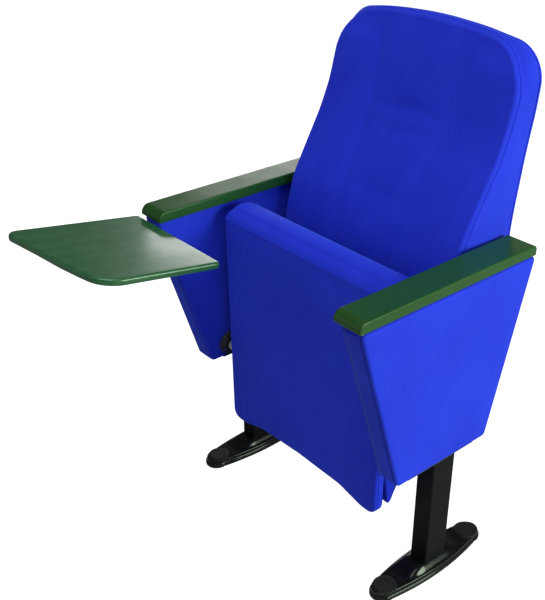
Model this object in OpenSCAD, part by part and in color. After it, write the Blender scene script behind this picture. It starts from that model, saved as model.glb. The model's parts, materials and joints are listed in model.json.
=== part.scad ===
// Auditorium tip-up chair with a writing tablet.
// One self-standing seat of a lecture-hall row: two upholstered side panels on steel legs,
// a fixed upholstered back, a seat that tips up on two axles, and a writing tablet on the
// right arm. It is drawn with the seat tipped up and the tablet in use.
// Millimetres.  +Z up, the sitter faces -Y, +X is the sitter's left hand.
// Origin: on the floor, midway between the two legs.

/* [Overall] */
// Width over the two arm caps
overall_w = 600; // [585:1:630]
// Height of the top of the arm caps
arm_top_z = 659.4; // [650:0.1:668]
// Height of the top of the back
back_top_z = 992; // [985:1:1000]

/* [Side panels and arm caps] */
// Thickness of a side panel over its fabric
panel_t = 51; // [50:0.5:54]
// Thickness of foam and fabric on the panel core
cover_t = 4; // [3:0.5:4]
// Height of the bottom edge of the panel
panel_bottom_z = 288; // [285:1:292]
// Front of the panel at its top
panel_front_top_y = -237; // [-238:1:-235]
// Front of the panel at its bottom
panel_front_bot_y = -133; // [-136:1:-130]
// Rear of the panel at its top
panel_rear_top_y = 188; // [186:1:189]
// Rear of the panel at its bottom
panel_rear_bot_y = 102; // [98:1:106]
// Width of an arm cap
cap_w = 62; // [60:1:62]
// Thickness of an arm cap
cap_t = 20; // [18:1:22]
// Front end of the arm cap
cap_front_y = -241; // [-241:1:-239]
// Rear end of the arm cap
cap_rear_y = 186; // [184:1:188]
// Radius of the rounded nose of the cap
cap_nose_r = 16; // [10:1:17]

/* [Legs and feet] */
// Width of the leg tube
leg_w = 40; // [36:1:40]
// Depth of the leg tube
leg_d = 58; // [50:1:60]
// Wall of the leg tube
leg_wall = 2.5; // [2:0.5:3]
// Half length of a foot
foot_half_l = 150; // [148:1:155]
// Half width of a foot at the leg
foot_half_w = 37.5; // [36.5:0.5:38]
// Radius of a floor bolt hole
floor_hole_r = 5.5; // [4.5:0.5:6]
// Distance between the two floor bolts of a foot
floor_bolt_span = 236; // [230:1:240]

/* [Seat] */
// Gap between the seat and a side panel
seat_gap = 27; // [25:0.5:30]
// Height of the seat hinge
pivot_z = 320; // [318:1:322]
// Depth position of the seat hinge
pivot_y = -88; // [-89:0.5:-87]
// Radius of the axle journal
axle_r = 6; // [5:0.5:6]
// Swing of the seat from tipped up to sitting
seat_swing = 83; // [80:1:84]

/* [Back] */
// Half width of the back
back_half_w = 229; // [225:1:231]
// Radius of the upper corners of the back
back_corner_r = 80; // [60:1:90]

/* [Writing tablet] */
// Thickness of the tablet board
tab_t = 13; // [12:1:14]
// Rise of the tablet towards its front edge, as a slope
tab_slope = 0.14; // [0.13:0.005:0.15]
// Height of the top of the tablet at its rear edge
tab_z = 637; // [636:0.5:637]
// Depth position of the tablet's rear edge
tab_rear_y = -245; // [-248:1:-245]
// Radius of the hinge pin
tab_pin_r = 5; // [4.5:0.5:5]

/* [Hidden] */
$fn = 64;

// The sides: every paired piece is drawn on the left and mirrored to the right.
left = 1;
right = -1;

slack = 0.3;                           // between nested pieces
contact = 0.05;                        // between pieces that touch

side_out_x = overall_w / 2;            // outer side of a panel and of its cap
side_in_x = side_out_x - panel_t;      // inner side of a panel
panel_top_z = arm_top_z - cap_t;       // top of the panel, underside of the cap
core_in_x = side_in_x + cover_t + slack;
core_out_x = side_out_x - cover_t - slack;
core_mid_x = (core_in_x + core_out_x) / 2;
leg_x = side_out_x - 28.5;             // centre of the leg
bolt_x = leg_x + 3;                    // leg bolts and tablet arm screws
seat_half_w = side_in_x - seat_gap;

// ---------- helpers ----------
module on_side(side) {
    if (side == left) children();
    else mirror([1, 0, 0]) children();
}
module on_both_sides() {
    children();
    mirror([1, 0, 0]) children();
}
// extrude a (y, z) outline along X
module along_x(x0, x1) {
    translate([x0, 0, 0]) rotate([90, 0, 90]) linear_extrude(x1 - x0) children();
}
// extrude an (x, z) outline along Y
module along_y(y0, y1) {
    translate([0, y1, 0]) rotate([90, 0, 0]) linear_extrude(y1 - y0) children();
}
// extrude a list of (x, y) points along Z
module prism(points, z0, z1) {
    translate([0, 0, z0]) linear_extrude(z1 - z0) polygon(points);
}
// cylinders along each axis, from one coordinate to another
module cyl_x(x0, x1, radius, y, z) {
    translate([x0, y, z]) rotate([0, 90, 0]) cylinder(r = radius, h = x1 - x0);
}
module cyl_y(y0, y1, radius, x = 0, z = 0) {
    translate([x, y0, z]) rotate([-90, 0, 0]) cylinder(r = radius, h = y1 - y0);
}
module cyl_z(z0, z1, radius, x = 0, y = 0) {
    translate([x, y, z0]) cylinder(r = radius, h = z1 - z0);
}
// box from its [low, high] pair on each axis
module block(x, y, z) {
    translate([x[0], y[0], z[0]]) cube([x[1] - x[0], y[1] - y[0], z[1] - z[0]]);
}
// round bar between two points
module bar(start, end, radius) {
    run = end - start;
    translate(start)
        rotate([0, acos(run[2] / norm(run)), atan2(run[1], run[0])])
        cylinder(r = radius, h = norm(run));
}

function unit(v) = v / norm(v);
function arc(centre, radius, from, to, steps = 6) =
    [for (i = [0:steps])
        let (angle = from + (to - from) * i / steps)
        centre + radius * [cos(angle), sin(angle)]];
// centred rectangle with round corners
function round_rect(width, depth, radius) =
    let (x = width / 2 - radius, y = depth / 2 - radius)
    concat(
        arc([x, y], radius, 0, 90), arc([-x, y], radius, 90, 180),
        arc([-x, -y], radius, 180, 270), arc([x, -y], radius, 270, 360));
// arc that replaces a corner and touches both its edges
function round_corner(before, corner, after, radius, steps) =
    let (to_before = unit(before - corner),
        to_after = unit(after - corner),
        half = acos(to_before * to_after) / 2,
        centre = corner + unit(to_before + to_after) * radius / sin(half),
        start = to_before * radius / tan(half) + corner - centre,
        end = to_after * radius / tan(half) + corner - centre,
        from = atan2(start[1], start[0]),
        turn = atan2(end[1], end[0]) - from,
        sweep = turn > 180 ? turn - 360 : turn < -180 ? turn + 360 : turn)
    arc(centre, radius, from, from + sweep, steps);
// outline with one radius for each corner; 0 leaves the corner sharp
function rounded(points, radii, steps = 6) =
    let (count = len(points))
    [for (i = [0:count - 1])
        each radii[i] <= 0 ? [points[i]] :
            round_corner(points[(i + count - 1) % count], points[i],
                points[(i + 1) % count], radii[i], steps)];

// ---------- feet ----------
foot_offset = 2;                       // foot centre, inward of the leg centre
foot_plate_t = 5;
foot_plate_w = 46;
foot_plate_l = 2 * foot_half_l - 24;
foot_plate_r = 20;                     // corner radius
foot_taper = 1200;                     // the sides draw in by y^2 / foot_taper
foot_side_y = 120;                     // where the tapered sides meet the round ends
bolt_cap_r = 24.5;
bolt_cap_collar_r = 13.7;
bolt_cap_z = 16;                       // the cap's seat on the cover

function foot_side(y, inset) = foot_half_w - inset - y * y / foot_taper;
function foot_outline(inset) =
    let (end_y = foot_half_l - foot_side(foot_side_y, 0),
        end_r = foot_side(foot_side_y, inset))
    concat(
        [for (y = [-foot_side_y:20:foot_side_y]) [foot_side(y, inset), y]],
        arc([0, end_y], end_r, 0, 180, 14),
        [for (y = [foot_side_y:-20:-foot_side_y]) [-foot_side(y, inset), y]],
        arc([0, -end_y], end_r, 180, 360, 14));
module foot_at() {
    translate([leg_x - foot_offset, 0, 0]) children();
}
module floor_bolt_cyl(z0, z1, radius) {
    for (y = [-floor_bolt_span / 2, floor_bolt_span / 2]) cyl_z(z0, z1, radius, 0, y);
}

module foot_plate(side) color("dimgray") on_side(side) foot_at() difference() {
    prism(round_rect(foot_plate_w, foot_plate_l, foot_plate_r), 0, foot_plate_t);
    floor_bolt_cyl(-1, foot_plate_t + 1, floor_hole_r);
}
module foot_cover(side) color("#111111") on_side(side) foot_at() difference() {
    union() {
        prism(foot_outline(0), 0.4, 8.5);
        prism(foot_outline(3), 8, 18);
        // shoulder rising to the leg
        hull() {
            prism(round_rect(58, 160, 20), 17, 18);
            prism(round_rect(leg_w + 10, leg_d + 10, 6), 29, 32);
        }
    }
    // pocket for the plate, and a shorter hollow above it
    prism(round_rect(foot_plate_w + 2, foot_plate_l + 2, foot_plate_r + 1),
        -1, foot_plate_t + 0.6);
    prism(round_rect(46, 150, 20), 5.5, 13.5);
    // passage for the leg
    translate([foot_offset, 0, 0]) prism(round_rect(leg_w + 0.8, leg_d + 0.8, 3.4), 5, 45);
    floor_bolt_cyl(4, 19, bolt_cap_collar_r + slack);
    floor_bolt_cyl(bolt_cap_z, 19, bolt_cap_r + slack);
}
module foot_caps(side) color("#1c1c1c") on_side(side) foot_at() difference() {
    union() {
        floor_bolt_cyl(bolt_cap_z + contact, 20, bolt_cap_r);
        floor_bolt_cyl(12, bolt_cap_z + 0.1, bolt_cap_collar_r);
    }
    floor_bolt_cyl(11, 17.5, 11.5);
}

// ---------- legs ----------
head_bottom_z = panel_bottom_z - 5;    // underside of the plate on top of the leg
head_bolt_y = [-78, 52];
// cylinders at the leg bolts; heights from the bottom of the panel
module head_bolt_cyl(z0, z1, radius) {
    for (y = head_bolt_y) cyl_z(panel_bottom_z + z0, panel_bottom_z + z1, radius, bolt_x, y);
}

module leg_tube(side) color("#141414") on_side(side)
    translate([leg_x, 0, foot_plate_t + contact]) difference() {
        prism(round_rect(leg_w, leg_d, 3), 0, head_bottom_z - foot_plate_t - 2 * contact);
        prism(round_rect(leg_w - 2 * leg_wall, leg_d - 2 * leg_wall, 1), -1, 399);
    }
module leg_head_plate(side) color("#181818") on_side(side) difference() {
    block([core_in_x + 1.5, core_out_x - 1.5], [-100, 74],
        [head_bottom_z, panel_bottom_z - contact]);
    head_bolt_cyl(-6, 1, 4.2);
}
module leg_bolts(side) color("#303030") on_side(side) {
    // hexagon heads below the plate
    for (y = head_bolt_y)
        translate([bolt_x, y, head_bottom_z - 5]) cylinder(r = 6.5, h = 4.95, $fn = 6);
    head_bolt_cyl(-5.2, 39.8, 4);
}

// ---------- side panels ----------
edge_ref_z = 639.4;                    // height at which the panel's top y values are given
front_lean = (panel_front_bot_y - panel_front_top_y) / (edge_ref_z - panel_bottom_z);
rear_lean = (panel_rear_top_y - panel_rear_bot_y) / (edge_ref_z - panel_bottom_z);
front_inset = 1.045;                   // shift along Y for each mm of inset
rear_inset = 1.035;
function front_y(z) = panel_front_top_y + (edge_ref_z - z) * front_lean;
function rear_y(z) = panel_rear_top_y - (edge_ref_z - z) * rear_lean;
// (y, z) outline, pulled in on the slanted and bottom edges
function panel_outline(inset, top) =
    let (bottom = panel_bottom_z + inset)
    [[front_y(top) + inset * front_inset, top],
     [rear_y(top) - inset * rear_inset, top],
     [rear_y(bottom) - inset * rear_inset, bottom],
     [front_y(bottom) + inset * front_inset, bottom]];

dowel_y = [-190, -30, 140];
// cylinders at the dowels; heights from the top of the panel
module dowel_cyl(z0, z1, radius) {
    for (y = dowel_y) cyl_z(panel_top_z + z0, panel_top_z + z1, radius, core_mid_x, y);
}
bracket_bolt_y = [112, 158];
bracket_bolt_z = 612;
// cylinders at the back bracket's panel bolts; x from the inner side of the panel
module bracket_bolt_cyl(x0, x1, radius) {
    for (y = bracket_bolt_y)
        cyl_x(side_in_x + x0, side_in_x + x1, radius, y, bracket_bolt_z);
}
module pivot_cyl(x0, x1, radius) {
    cyl_x(x0, x1, radius, pivot_y, pivot_z);
}
hub_screw_circle_r = 19.5;
// cylinders at the hub screws; x from the inner side of the panel
module hub_screw_cyl(x0, x1, radius) {
    for (a = [90, 210, 330])
        cyl_x(side_in_x + x0, side_in_x + x1, radius,
            pivot_y + hub_screw_circle_r * cos(a), pivot_z + hub_screw_circle_r * sin(a));
}
// frame on the slanted front edge: local Z runs up the edge, local -Y points out of it
slant_top_z = 620;
module on_slant(x, drop) {
    translate([x, front_y(slant_top_z), slant_top_z])
        rotate([atan(front_lean), 0, 0])
        translate([0, 0, -drop])
        children();
}
// cylinders at the tablet arm's screws, square to the slanted edge
arm_screw_drops = [14, 46];
module arm_screw_cyl(y0, y1, radius) {
    for (drop = arm_screw_drops) on_slant(bolt_x, drop) cyl_y(y0, y1, radius);
}

module arm_core(side) color("burlywood") on_side(side) difference() {
    along_x(core_in_x, core_out_x)
        polygon(panel_outline(cover_t + slack, panel_top_z - 0.2));
    dowel_cyl(-17, 1, 4.1);
    head_bolt_cyl(0, 42, 4.15);
    pivot_cyl(side_in_x, side_in_x + 24, 15);
    hub_screw_cyl(0, 17, 2.1);
    bracket_bolt_cyl(0, 33, 3.1);
    if (side == right) arm_screw_cyl(-8, 46, 3.1);
}
module arm_cover(side) color("#2336d8") on_side(side) difference() {
    along_x(side_in_x, side_out_x)
        polygon(rounded(panel_outline(0, panel_top_z - 0.1), [0, 0, 6, 6]));
    along_x(side_in_x + cover_t, side_out_x - cover_t)
        polygon(panel_outline(cover_t, panel_top_z + 1));
    head_bolt_cyl(-1, 6, 5);
    pivot_cyl(side_in_x - 1, side_in_x + cover_t + 1, 15.4);
    hub_screw_cyl(-1, 6, 2.6);
    bracket_bolt_cyl(-1, 6, 4);
    if (side == right) arm_screw_cyl(-8, 8, 4);
}
module armrest(side) color("#2f6b45") on_side(side) difference() {
    along_x(side_out_x - cap_w, side_out_x) polygon(rounded(
        [[cap_front_y, panel_top_z], [cap_rear_y, panel_top_z],
         [cap_rear_y, arm_top_z], [cap_front_y, arm_top_z]],
        [2, 2, 9, cap_nose_r], 10));
    dowel_cyl(-1, 11, 4.1);
}
module armrest_dowels(side) color("tan") on_side(side) dowel_cyl(-16, 10, 4);

// ---------- seat bearing ----------
// The hub holds the bush and has a sector pocket in which the axle's lug runs
// between its two stops.
lug_angle = 270;                       // lug of the tipped-up seat, pointing down
lug_half = 12;                         // half angle of the lug
lug_play = 0.8;                        // spare angle at each stop
// part of a ring about the pivot, between two angles from +Y towards +Z
module ring_sector(x0, x1, inner_r, outer_r, from, to) {
    translate([0, pivot_y, pivot_z]) along_x(x0, x1) intersection() {
        difference() {
            circle(r = outer_r);
            circle(r = inner_r);
        }
        polygon(concat([[0, 0]], arc([0, 0], 40, from, to, 12)));
    }
}

module pivot_hub(side) color("#151515") on_side(side) difference() {
    union() {
        pivot_cyl(side_in_x - 8, side_in_x - 0.1, 26);
        pivot_cyl(side_in_x - 0.2, side_in_x + 21, 14);
    }
    pivot_cyl(side_in_x - 9, side_in_x + 22, 9.05);
    ring_sector(side_in_x - 9, side_in_x - 2, 8.5, 15,
        lug_angle - lug_half - lug_play, lug_angle + seat_swing + lug_half + lug_play);
    hub_screw_cyl(-9, 1, 2.2);
    hub_screw_cyl(-9, -5, 4.2);
}
module pivot_bush(side) color("ivory") on_side(side) difference() {
    pivot_cyl(side_in_x - 1.5, side_in_x + 20.5, 9);
    pivot_cyl(side_in_x - 3, side_in_x + 21.5, axle_r + 0.05);
}
module hub_screws(side) color("silver") on_side(side) {
    hub_screw_cyl(-7.5, -5.02, 3.9);
    hub_screw_cyl(-5.1, 16, 2);
}

// ---------- back ----------
back_bottom_z = 458;
// (y, z) of the rear face, from bottom to top; the board and the rear panel follow it
rear_line = [
    [203, back_bottom_z], [204, 655], [208, 700], [220, 790],
    [230, 865], [234, 930], [235, back_top_z]];
// (y, z) of the front of the cushion, from bottom to top
front_line = [
    [84, back_bottom_z], [66, 490], [53, 530], [48, 572], [54, 610], [71, 664], [104, 725],
    [142, 790], [163, 838], [176, 885], [187, 930], [199, 965], [212, back_top_z]];
function ahead_of_rear(distance) = [for (p = rear_line) [p[0] - distance, p[1]]];
function flipped(line) = [for (i = [len(line) - 1:-1:0]) line[i]];
// solid between two (y, z) lines, cut to the front view outline pulled in by an inset
module back_layer(front, rear, inset = 0, start_y = 150) {
    half_w = back_half_w - inset;
    bottom = back_bottom_z + inset;
    corner_z = back_top_z - 9 - inset;
    corner_r = back_corner_r - inset;
    intersection() {
        along_x(-300, 300) polygon(concat(front, flipped(rear)));
        along_y(start_y, 260) polygon(rounded(
            [[-half_w, bottom], [half_w, bottom], [half_w, 800], [half_w - 4, corner_z],
             [0, back_top_z - inset], [-half_w + 4, corner_z], [-half_w, 800]],
            [14, 14, 0, corner_r, 0, corner_r, 0], 10));
    }
}
bracket_t = 4;
bracket_z = [586, 636];
flange_y = 178.5;                      // front face of the bracket's flange
// cylinders at the flange bolts; y from the front face of the flange
module flange_bolt_cyl(y0, y1, radius) {
    for (x = [204, 218], z = [598, 624]) cyl_y(flange_y + y0, flange_y + y1, radius, x, z);
}

module back_rear_panel() color("#2230c0") back_layer(ahead_of_rear(8), rear_line);
module back_board() color("burlywood") difference() {
    back_layer(ahead_of_rear(20.5), ahead_of_rear(8.5), inset = 9);
    on_both_sides() flange_bolt_cyl(-8.5, 15.5, 3.15);
}
module back_cushion() color("#2230c0") difference() {
    back_layer(front_line, ahead_of_rear(21), start_y = 0);
    // room for the bracket flanges
    on_both_sides() block([188, 240], [168, 200], [580, 641]);
}
module back_bracket(side) color("#202020") on_side(side) difference() {
    union() {
        block([side_in_x - bracket_t, side_in_x - 0.1], [98, flange_y + bracket_t], bracket_z);
        block([194, side_in_x - 0.1], [flange_y, flange_y + bracket_t], bracket_z);
    }
    bracket_bolt_cyl(-5, 1, 3.2);
    flange_bolt_cyl(-1.5, 5.5, 3.2);
}
module back_bolts(side) color("silver") on_side(side) {
    bracket_bolt_cyl(-7.5, -4.02, 5.5);
    bracket_bolt_cyl(-4.1, 32, 3);
    flange_bolt_cyl(-4, -0.02, 5);
    flange_bolt_cyl(-0.1, 14.5, 3);
}

// ---------- writing tablet ----------
// Board frame, in use: origin on the top at the rear edge, above the right arm,
// +X across, local -Y forward along the board.
tab_x = -(side_out_x - 50);
tab_origin = [tab_x, tab_rear_y, tab_z];
tab_tilt = atan(tab_slope);
tilt_cos = cos(tab_tilt);
tilt_sin = sin(tab_tilt);
module tab_frame() {
    translate(tab_origin) rotate([-tab_tilt, 0, 0]) children();
}
// board corners (x, y) in its frame, and their radii
tab_corners = [[-60, 0], [-77, -262], [24, -249], [85, -243], [134, -235], [195, -222], [207, 0]];
tab_radii = [14, 24, 0, 0, 0, 34, 7];
tab_outline = rounded(tab_corners, tab_radii, 10);

// The hinge carries the board from lying over the lap to hanging beside the panel.
// Its turn is the one that takes (across, forward, normal) to (rearward, down, inward).
hinge_axis = unit([tilt_cos, tilt_cos, 1 - tilt_sin]);
// trace of the turn is -sin(tilt), so its angle is acos((-sin(tilt) - 1) / 2)
hinge_angle = acos((-tilt_sin - 1) / 2);
stow_x = -(side_out_x + 4.5);
stow_y = -165;
// a turn moves nothing along its axis, which fixes the stowed height
stow_z = tab_z
    - ((stow_x - tab_x) * hinge_axis[0] + (stow_y - tab_rear_y) * hinge_axis[1]) / hinge_axis[2];
stow_origin = [stow_x, stow_y, stow_z];
axis_point = (tab_origin + stow_origin) / 2
    + cross(hinge_axis, stow_origin - tab_origin) / (2 * tan(hinge_angle / 2));
hinge_z = 605;
hinge_centre = axis_point + hinge_axis * ((hinge_z - axis_point[2]) / hinge_axis[2]);
// frame with Z along the hinge axis
module hinge_frame() {
    translate(hinge_centre)
        rotate([0, acos(hinge_axis[2]), atan2(hinge_axis[1], hinge_axis[0])])
        children();
}
// turned about the hinge to the stowed place
module stowed() {
    translate(hinge_centre)
        rotate(a = hinge_angle, v = hinge_axis)
        translate(-hinge_centre)
        children();
}

arm_plate_l = 60;                      // mounting plate, down the slanted edge
module tablet_arm() color("#1b1b1b") difference() {
    union() {
        hinge_frame() cyl_z(-13, 13, 9.5);
        // bar to the panel, kept in front of its slanted edge
        intersection() {
            bar(hinge_centre, [-bolt_x, front_y(597) + 12, 594], 7);
            on_slant(-bolt_x, arm_plate_l) block([-100, 100], [-100.1, -0.1], [-60, 140]);
        }
        on_slant(-bolt_x, arm_plate_l) block([-17, 17], [-4.1, -0.1], [0, arm_plate_l]);
    }
    hinge_frame() {
        cyl_z(-20, 20, tab_pin_r + 0.05);
        cyl_z(13, 33, 8.6);
        cyl_z(-40, -13, 10.6);
    }
    // clearance for the stowed board
    stowed() tab_frame() scale([1.008, 1.008, 1]) prism(tab_outline, -tab_t - 0.6, 0.6);
    on_side(right) arm_screw_cyl(-8, 1, 3.2);
}
module tablet_arm_screws() color("silver") on_side(right) {
    arm_screw_cyl(-7.2, -4.2, 5.5);
    arm_screw_cyl(-4.3, 43.7, 3);
}

knuckle_centre = hinge_centre - 24 * hinge_axis;
knuckle_foot = [-38, -47, 0];          // centre of the knuckle's foot, in the board frame
// cylinders at the tablet screws, in the board frame; heights from the board's underside
module tab_screw_cyl(z0, z1, radius) {
    for (x = [-17, 17], y = [-17, 17])
        translate(knuckle_foot) cyl_z(z0 - tab_t, z1 - tab_t, radius, x, y);
}
module tablet_knuckle() color("#1b1b1b") difference() {
    union() {
        hinge_frame() cyl_z(-30, -17.5, 10);
        // bar to the foot, cut off below the board
        difference() {
            bar(knuckle_centre,
                [tab_x + knuckle_foot[0] - 2,
                 tab_rear_y + knuckle_foot[1] * tilt_cos,
                 tab_z - knuckle_foot[1] * tilt_sin - 6], 6);
            tab_frame() block([-200, 200], [-200, 200], [-tab_t - 1, -tab_t + 59]);
        }
        tab_frame() translate(knuckle_foot)
            prism(round_rect(48, 48, 6), -tab_t - 3.1, -tab_t - 0.1);
    }
    hinge_frame() {
        cyl_z(-40, -10, tab_pin_r + 0.02);
        cyl_z(-17.5, 42.5, 10.2);
    }
    tab_frame() {
        tab_screw_cyl(-4, 1, 2.2);
        tab_screw_cyl(-30, -3.1, 4.4);
    }
}
module tablet_pin() color("silver") hinge_frame() {
    cyl_z(-31.5, 13.5, tab_pin_r);
    cyl_z(13.3, 16.3, 8);
}
module tablet_washer() color("silver") hinge_frame() difference() {
    cyl_z(-17.4, -13.1, 8);
    cyl_z(-18.4, -10.4, tab_pin_r + 0.2);
}
module tablet_board() color("#2f6b45") tab_frame() difference() {
    prism(tab_outline, -tab_t, 0);
    tab_screw_cyl(-1, 9, 2.1);
}
module tablet_screws() color("silver") tab_frame() {
    tab_screw_cyl(-5.2, -3.12, 4);
    tab_screw_cyl(-3.2, 8, 2);
}

// ---------- seat, tipped up ----------
hinge_plate_x = seat_half_w - 8.5;     // outer face of the hinge plate
// (y, z) section of the underside panel
underside_section = rounded(
    [[-106, 612.5], [-106, 150], [-92, 150], [-84, 172], [-84, 612.5]],
    [0, 8, 4, 4, 0]);
// (x, z) front view of the underside panel: lower edge raised in the middle
underside_front = rounded(
    [[-seat_half_w, 620], [-seat_half_w, 151.5], [-182, 151.5], [-120, 166], [0, 170],
     [120, 166], [182, 151.5], [seat_half_w, 151.5], [seat_half_w, 620]],
    [0, 14, 60, 60, 0, 60, 60, 14, 0]);
// (y, z) section of the cushion, wrapped over the upper edge of the board
cushion_section = [
    [-71.4, 176], [-60, 181], [-42, 206], [-24, 242], [-14, 296], [-10, 400], [-10, 540],
    [-14, 596], [-22, 618], [-34, 632], [-50, 639.5], [-66, 642], [-81, 638], [-94, 628],
    [-105.8, 612.8], [-83.5, 612.8], [-83.5, 600.3], [-71.4, 600.3]];
function about_pivot(half) = [pivot_z - half, pivot_z + half];
module seat_screw_cyl(y0, y1, radius) {
    for (x = [seat_half_w - 62, seat_half_w - 28], z = about_pivot(24))
        cyl_y(y0, y1, radius, x, z);
}

module seat_underside_panel() color("#1c2bb8") difference() {
    intersection() {
        along_x(-seat_half_w, seat_half_w) polygon(underside_section);
        along_y(-120, -60) polygon(underside_front);
    }
    // room for the hinge plate, its boss and the axle
    on_both_sides() {
        block([seat_half_w - 78, seat_half_w - 6], [-91.5, -80], about_pivot(44));
        block([hinge_plate_x - 8, hinge_plate_x + 1.5], [-103.5, -80], about_pivot(17));
        pivot_cyl(hinge_plate_x, seat_half_w + 1, 10.5);
    }
}
module seat_board() color("burlywood") difference() {
    block([-seat_half_w + 12, seat_half_w - 12], [-83.7, -71.7], [184, 600]);
    on_both_sides() {
        block([hinge_plate_x - 8, seat_half_w], [-84, -71], about_pivot(17));
        seat_screw_cyl(-84, -73, 2.1);
    }
}
module seat_cushion() color("#2230c0")
    along_x(-seat_half_w, seat_half_w) polygon(cushion_section);
module seat_hinge(side) color("#303030") on_side(side) difference() {
    union() {
        block([seat_half_w - 74, hinge_plate_x], [-87.4, -83.9], about_pivot(40));
        pivot_cyl(hinge_plate_x - 3.5, hinge_plate_x, 14);
    }
    pivot_cyl(hinge_plate_x - 4, hinge_plate_x + 1, axle_r + 0.02);
    pivot_cyl(hinge_plate_x - 8, hinge_plate_x - 3.5, 9.4);
    seat_screw_cyl(-89, -83, 2.2);
}
module seat_axle(side) color("silver") on_side(side) {
    pivot_cyl(hinge_plate_x - 6.5, side_in_x + 19, axle_r);
    pivot_cyl(hinge_plate_x - 6.5, hinge_plate_x - 3.6, 9);
    pivot_cyl(hinge_plate_x + contact, side_in_x - 2, 8);
    // stop lug, at the start of its pocket
    ring_sector(side_in_x - 7.5, side_in_x - 2.5, 7.5, 14.6,
        lug_angle - lug_half, lug_angle + lug_half);
}

// wound wire: a tube swept along a coil about X, with both ends closed
coil_r = 11;
wire_r = 1.1;
coil_turns = 4.5;
coil_pitch = 2.5;
coil_steps = 20;                       // steps in one turn
wire_sides = 8;
module seat_spring(side) color("#707070") on_side(side) {
    steps = floor(coil_turns * coil_steps);
    points = [for (i = [0:steps], j = [0:wire_sides - 1])
        let (turn = 360 * i / coil_steps,
            around = 360 * j / wire_sides,
            x = seat_half_w + 1.6 + coil_pitch * i / coil_steps,
            reach = coil_r + wire_r * cos(around))
        [x + wire_r * sin(around), pivot_y + reach * cos(turn), pivot_z + reach * sin(turn)]];
    first_end = [for (j = [0:wire_sides - 1]) j];
    last_end = [for (j = [wire_sides - 1:-1:0]) steps * wire_sides + j];
    wall = [for (i = [0:steps - 1], j = [0:wire_sides - 1])
        let (ring = i * wire_sides, next = ring + wire_sides, k = (j + 1) % wire_sides)
        [ring + j, next + j, next + k, ring + k]];
    polyhedron(points = points, faces = concat([first_end], wall, [last_end]), convexity = 4);
}
module seat_screws() color("silver") on_both_sides() {
    seat_screw_cyl(-90.2, -87.42, 4);
    seat_screw_cyl(-87.5, -74, 2);
}

foot_plate(left);  // foot_plate_left
foot_plate(right);  // foot_plate_right
foot_cover(left);  // foot_cover_left
foot_cover(right);  // foot_cover_right
foot_caps(left);  // foot_caps_left
foot_caps(right);  // foot_caps_right
leg_tube(left);  // leg_tube_left
leg_tube(right);  // leg_tube_right
leg_head_plate(left);  // leg_head_plate_left
leg_head_plate(right);  // leg_head_plate_right
leg_bolts(left);  // leg_bolts_left
leg_bolts(right);  // leg_bolts_right
arm_core(left);  // arm_core_left
arm_core(right);  // arm_core_right
arm_cover(left);  // arm_cover_left
arm_cover(right);  // arm_cover_right
armrest(left);  // armrest_left
armrest(right);  // armrest_right
armrest_dowels(left);  // armrest_dowels_left
armrest_dowels(right);  // armrest_dowels_right
pivot_hub(left);  // pivot_hub_left
pivot_hub(right);  // pivot_hub_right
pivot_bush(left);  // pivot_bush_left
pivot_bush(right);  // pivot_bush_right
hub_screws(left);  // hub_screws_left
hub_screws(right);  // hub_screws_right
back_board();
back_cushion();
back_rear_panel();
back_bracket(left);  // back_bracket_left
back_bracket(right);  // back_bracket_right
back_bolts(left);  // back_bolts_left
back_bolts(right);  // back_bolts_right
tablet_arm();
tablet_arm_screws();
seat_board();
seat_cushion();
seat_underside_panel();
seat_hinge(left);  // seat_hinge_left
seat_hinge(right);  // seat_hinge_right
seat_axle(left);  // seat_axle_left
seat_axle(right);  // seat_axle_right
seat_spring(left);  // seat_spring_left
seat_spring(right);  // seat_spring_right
seat_screws();
tablet_board();
tablet_knuckle();
tablet_pin();
tablet_washer();
tablet_screws();
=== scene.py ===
"""Auditorium tip-up chair with a writing tablet, its seat folded up.

Metres, in the frame of the CAD: +Z is up, the chair faces -Y and X runs across it. The seat
stands upright, so its sitting surface faces +Y and its underside faces -Y.
"""

import json
import math

import bmesh
import bpy
import numpy as np
from mathutils import Matrix, Vector, kdtree


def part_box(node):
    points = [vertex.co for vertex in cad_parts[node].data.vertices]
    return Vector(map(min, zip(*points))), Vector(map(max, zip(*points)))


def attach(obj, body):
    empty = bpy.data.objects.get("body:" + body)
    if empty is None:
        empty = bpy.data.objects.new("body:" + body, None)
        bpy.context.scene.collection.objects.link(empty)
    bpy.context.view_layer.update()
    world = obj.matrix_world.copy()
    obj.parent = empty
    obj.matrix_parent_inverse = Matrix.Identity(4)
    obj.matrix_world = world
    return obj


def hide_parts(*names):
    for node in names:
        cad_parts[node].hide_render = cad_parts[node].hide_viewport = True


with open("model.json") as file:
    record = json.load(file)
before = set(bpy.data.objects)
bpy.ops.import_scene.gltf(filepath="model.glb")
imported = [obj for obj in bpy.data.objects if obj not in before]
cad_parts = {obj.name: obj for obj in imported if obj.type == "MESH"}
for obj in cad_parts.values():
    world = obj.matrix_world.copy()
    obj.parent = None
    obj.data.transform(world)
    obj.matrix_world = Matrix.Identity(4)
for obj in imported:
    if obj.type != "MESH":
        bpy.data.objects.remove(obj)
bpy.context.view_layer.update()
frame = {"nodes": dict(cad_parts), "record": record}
NODES = frame["nodes"]
MM = 0.001
scene = bpy.context.scene


# ---------------------------------------------------------------- reading the CAD
def cad(node):
    """Vertices of a CAD node as an array."""
    vertices = NODES[node].data.vertices
    flat = np.zeros(len(vertices) * 3)
    vertices.foreach_get("co", flat)
    return flat.reshape(-1, 3)


def box(node):
    lo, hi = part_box(node)
    return np.array(lo), np.array(hi)


# ---------------------------------------------------------------- curves and outlines
def fade(x, start, end):
    """Smooth step from 0 at start to 1 at end."""
    t = np.clip((x - start) / (end - start), 0, 1)
    return t * t * (3 - 2 * t)


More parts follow.
